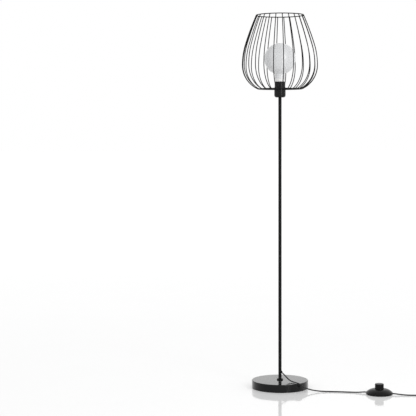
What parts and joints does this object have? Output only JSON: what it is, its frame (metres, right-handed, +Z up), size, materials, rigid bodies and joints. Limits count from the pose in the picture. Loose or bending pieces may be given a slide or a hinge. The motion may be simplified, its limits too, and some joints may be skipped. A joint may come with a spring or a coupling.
{
  "type": "floor lamp",
  "caption": "Floor lamp: weighted round base, slim pole, foot switch on the cord, and a flared wire cage open at the top around a globe bulb.",
  "frame": {"origin": "centre of the base's underside, on the floor", "axes": "+Z up along the pole; the lamp is seen along +Y; the cord leaves towards +X"},
  "size_m": [0.8483, 0.3246, 1.5],
  "materials": {
    "black_steel": "satin black powder coat",
    "cast_ballast": "rough cast concrete",
    "rubber_pad": "solid rubber, matt",
    "zinc_steel": "bright zinc plating",
    "black_holder_plastic": "moulded, satin",
    "white_ceramic": "unglazed, fine",
    "nickel": "nickel plating",
    "brass": "bright",
    "opal_glass": "opal white, smooth",
    "white_plastic": "moulded, satin gloss",
    "cap_glass": "black glass, glossy",
    "board_aluminium": "white solder mask over aluminium",
    "driver_resin": "potting resin, matt",
    "black_switch_plastic": "moulded, fine texture",
    "switch_resin": "moulded, matt",
    "black_rubber": "matt",
    "cord_pvc": "smooth, soft sheen",
    "lead_pvc": "smooth",
    "tie_plastic": "woven strap, matt",
    "plug_plastic": "moulded, satin"
  },
  "bodies": {
    "stand": {"base_cover": "black_steel", "base_nipple": "zinc_steel", "base_nut": "zinc_steel", "base_pad": "rubber_pad", "base_washer": "zinc_steel", "base_weight": "cast_ballast", "cord_coil": "cord_pvc", "cord_from_switch": "cord_pvc", "cord_grommet": "black_holder_plastic", "cord_tail": "cord_pvc", "cord_tie": "tie_plastic", "cord_to_switch": "cord_pvc", "holder_contact": "brass", "holder_core": "white_ceramic", "holder_cup": "black_holder_plastic", "holder_leads": "lead_pvc", "holder_nipple": "zinc_steel", "holder_nut": "zinc_steel", "holder_screw_shell": "nickel", "holder_skirt": "black_holder_plastic", "holder_terminals": "brass", "plug_body": "plug_plastic", "plug_pins": "nickel", "plug_sleeve": "plug_plastic", "pole_collar": "black_steel", "pole_joiners": "zinc_steel", "pole_lower": "black_steel", "pole_middle": "black_steel", "pole_upper": "black_steel", "riser_cord": "cord_pvc", "switch_clamps": "black_switch_plastic", "switch_contact_block": "switch_resin", "switch_dome": "black_switch_plastic", "switch_feet": "black_rubber", "switch_plate": "black_switch_plastic", "switch_screws": "zinc_steel", "switch_spring": "zinc_steel"},
    "cage": {"cage_wires": "black_steel", "cage_top_ring": "black_steel", "cage_bottom_ring": "black_steel", "cage_plate": "black_steel", "cage_spokes": "black_steel"},
    "clamping_ring": {"shade_ring": "black_holder_plastic"},
    "bulb_rise": {"bulb_contact": "brass"},
    "bulb": {"bulb_globe": "opal_glass", "bulb_collar": "white_plastic", "bulb_cap": "nickel", "bulb_insulator": "cap_glass", "bulb_light_board": "board_aluminium", "bulb_driver": "driver_resin"},
    "foot_button": {"switch_button": "black_switch_plastic"}
  },
  "joints": [
    {"name": "cage_turn", "type": "hinge", "parent": "stand", "child": "cage", "pos_m": [0, 0, 1.20725], "axis": [0, 0, 1], "continuous": true},
    {"name": "clamping_ring_turn", "type": "hinge", "parent": "stand", "child": "clamping_ring", "pos_m": [0, 0, 1.20875], "axis": [0, 0, 1], "range_deg": [0, 3600]},
    {"name": "bulb_lift", "type": "slide", "parent": "stand", "child": "bulb_rise", "axis": [0, 0, 1], "range_m": [0, 0.0218]},
    {"name": "bulb_turn", "type": "hinge", "parent": "bulb_rise", "child": "bulb", "pos_m": [0, 0, 1.21], "axis": [0, 0, 1], "range_deg": [0, 2160]},
    {"name": "button_press", "type": "slide", "parent": "stand", "child": "foot_button", "axis": [0, 0, -1], "range_m": [0, 0.004], "stiffness_N_per_m": 1500, "springref_m": -0.002, "deforming": ["switch_spring"]}
  ],
  "couplings": [
    {"joint": "bulb_lift", "follows": "bulb_turn", "m_per_rad": 0.00057757}
  ]
}
